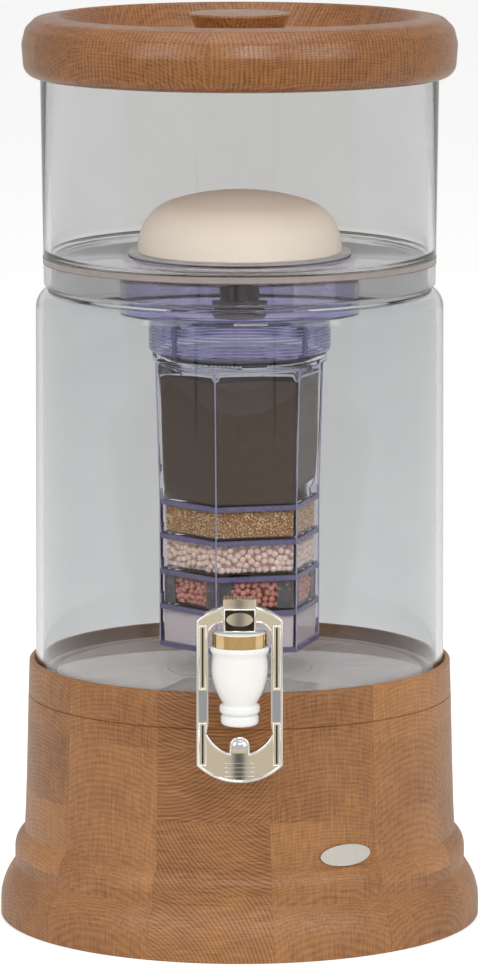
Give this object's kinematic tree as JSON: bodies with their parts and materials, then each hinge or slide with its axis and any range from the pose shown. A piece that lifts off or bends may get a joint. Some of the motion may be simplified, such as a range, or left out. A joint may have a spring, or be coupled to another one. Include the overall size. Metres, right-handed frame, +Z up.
{
  "type": "gravity water filter",
  "caption": "Countertop gravity water filter: clear upper and lower tanks on a turned wooden base, wooden lid, ceramic dome, hexagonal media cartridge and push-lever tap.",
  "frame": {"origin": "on the tanks' axis, at the underside of the base", "axes": "+Z up, tap towards -Y, +X to the right when the tap faces the viewer"},
  "size_m": [0.2954, 0.3307, 0.5561],
  "materials": {
    "oiled_oak": "oiled, turned",
    "clear_acrylic": "polished",
    "clear_plate": "moulded",
    "blue_plastic": "tinted, moulded",
    "shell_plastic": "tinted, moulded",
    "ceramic": "unglazed, matt",
    "silicone": "matt",
    "grey_nut": "moulded",
    "carbon": "granular",
    "granules": "granular",
    "beads": "fired balls",
    "pellets": "fired balls",
    "minerals": "fine sand",
    "chrome": "mirror plated",
    "gold_trim": "plated",
    "white_plastic": "moulded",
    "steel": "bright",
    "pewter": "satin"
  },
  "bodies": {
    "base": {"base_drum": "oiled_oak", "base_board": "oiled_oak", "badge_plate": "pewter"},
    "lower": {"lower_tank": "clear_acrylic", "tap_body": "white_plastic", "tap_bonnet_cap": "white_plastic", "tap_trim_ring": "gold_trim", "tap_outer_washer": "silicone", "tap_inner_washer": "silicone", "tap_nut": "white_plastic", "valve_spring": "steel"},
    "upper": {"upper_tank": "clear_acrylic", "ceramic_dome": "ceramic", "dome_plate": "clear_plate", "dome_gasket": "silicone", "bowl_gasket": "silicone", "filter_bowl": "blue_plastic", "stem_nut": "grey_nut"},
    "cartridge": {"cartridge_collar": "blue_plastic", "cartridge_shell": "shell_plastic", "inlet_strainer": "blue_plastic", "carbon_fill": "carbon", "granule_tray": "shell_plastic", "bead_tray": "shell_plastic", "pellet_tray": "shell_plastic", "mineral_tray": "shell_plastic", "granule_bed": "granules", "bead_bed": "beads", "pellet_bed": "pellets", "mineral_bed": "minerals", "pocket_divider": "grey_nut"},
    "lid": {"lid_ring": "oiled_oak", "lid_panel": "oiled_oak", "lid_knob": "oiled_oak", "lid_screw": "steel"},
    "valve": {"valve_stem": "white_plastic", "valve_seal": "silicone"},
    "lever": {"lever_frame": "chrome", "lever_pin": "steel", "lever_boss": "chrome"}
  },
  "joints": [
    {"name": "lower_tank_lift", "type": "slide", "parent": "base", "child": "lower", "axis": [0, 0, 1], "range_m": [0, 0.03]},
    {"name": "upper_tank_lift", "type": "slide", "parent": "lower", "child": "upper", "axis": [0, 0, 1], "range_m": [0, 0.24]},
    {"name": "lid_lift", "type": "slide", "parent": "upper", "child": "lid", "axis": [0, 0, 1], "range_m": [0, 0.06]},
    {"name": "cartridge_twist", "type": "hinge", "parent": "upper", "child": "cartridge", "pos_m": [0, 0, 0.36], "axis": [0, 0, 1], "range_deg": [0, 90]},
    {"name": "valve_lift", "type": "slide", "parent": "lower", "child": "valve", "axis": [0, 0, 1], "range_m": [0, 0.0016], "stiffness_N_per_m": 600, "springref_m": -0.004, "deforming": ["valve_spring"]},
    {"name": "lever_tilt", "type": "hinge", "parent": "valve", "child": "lever", "pos_m": [0, -0.165, 0.212], "axis": [1, 0, 0], "range_deg": [0, 14]}
  ],
  "couplings": [
    {"joint": "valve_lift", "follows": "lever_tilt", "m_per_rad": 0.0065}
  ]
}
